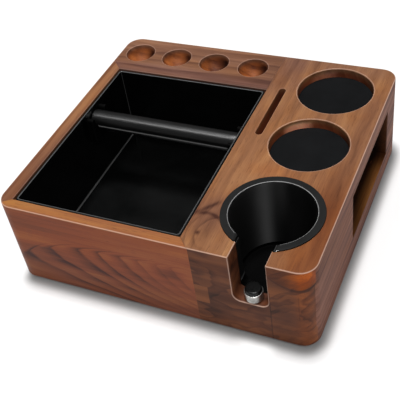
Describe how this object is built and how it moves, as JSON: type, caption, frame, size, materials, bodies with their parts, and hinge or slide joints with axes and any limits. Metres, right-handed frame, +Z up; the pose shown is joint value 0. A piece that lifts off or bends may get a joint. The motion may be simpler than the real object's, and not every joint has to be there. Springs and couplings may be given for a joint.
{
  "type": "espresso tamping station",
  "caption": "Walnut espresso tamping station with a lift-out knock box and bar, a portafilter cup with a handle notch, tool coasters, a screen slot, round wells and a side compartment.",
  "frame": {"origin": "on the table, under the middle of the body's bounding box", "axes": "+X to the right as seen from the notch side, +Y to the back, +Z up"},
  "size_m": [0.25, 0.236, 0.081],
  "materials": {
    "walnut_deck": "satin oiled walnut",
    "walnut_rail": "satin oiled walnut",
    "walnut_frame": "satin oiled walnut",
    "walnut_front": "satin oiled walnut",
    "walnut_block": "satin oiled walnut",
    "walnut_inner": "satin oiled walnut",
    "coaster_pad": "matte",
    "bin_plastic": "satin",
    "bar_plastic": "satin",
    "bar_rubber": "satin",
    "rod_steel": "brushed",
    "cup_plastic": "gloss inside, satin rim",
    "screw_steel": "bright",
    "cap_rubber": "satin",
    "insert_brass": "satin",
    "foot_rubber": "matte"
  },
  "bodies": {
    "station": {"left_board": "walnut_frame", "front_board": "walnut_front", "back_board": "walnut_frame", "well_rail": "walnut_rail", "base_board": "walnut_inner", "bay_rear_board": "walnut_inner", "deck_panel": "walnut_deck", "plinth_plank": "walnut_block", "front_block": "walnut_block", "rear_block": "walnut_block", "divider_board": "walnut_inner", "rear_coaster_pad": "coaster_pad", "front_coaster_pad": "coaster_pad", "foot_front_left": "foot_rubber", "foot_rear_left": "foot_rubber", "foot_front_right": "foot_rubber", "foot_rear_right": "foot_rubber", "threaded_insert": "insert_brass"},
    "bin": {"knock_bin": "bin_plastic", "bar_cradle_left": "bar_plastic", "bar_cradle_right": "bar_plastic", "cradle_screw_left_front": "rod_steel", "cradle_screw_left_rear": "rod_steel", "cradle_screw_right_front": "rod_steel", "cradle_screw_right_rear": "rod_steel"},
    "bar": {"bar_rod": "rod_steel", "bar_sleeve": "bar_rubber", "bar_end_cap_left": "bar_plastic", "bar_end_cap_right": "bar_plastic"},
    "cup": {"portafilter_cup": "cup_plastic"},
    "support_pad": {"support_cap": "cap_rubber"},
    "support": {"support_screw": "screw_steel"}
  },
  "joints": [
    {"name": "bin_lift", "type": "slide", "parent": "station", "child": "bin", "axis": [0, 0, 1], "range_m": [0, 0.08]},
    {"name": "bar_lift", "type": "slide", "parent": "bin", "child": "bar", "axis": [0, 0, 1], "range_m": [0, 0.03]},
    {"name": "cup_lift", "type": "slide", "parent": "station", "child": "cup", "axis": [0, 0, 1], "range_m": [0, 0.07]},
    {"name": "support_lift", "type": "slide", "parent": "station", "child": "support_pad", "axis": [0, 0, 1], "range_m": [0, 0.006]},
    {"name": "support_turn", "type": "hinge", "parent": "support_pad", "child": "support", "pos_m": [0.0786, -0.111, 0.0363], "axis": [0, 0, 1], "range_deg": [0, 2700]}
  ],
  "couplings": [
    {"joint": "support_lift", "follows": "support_turn", "m_per_rad": 0.00012732}
  ]
}
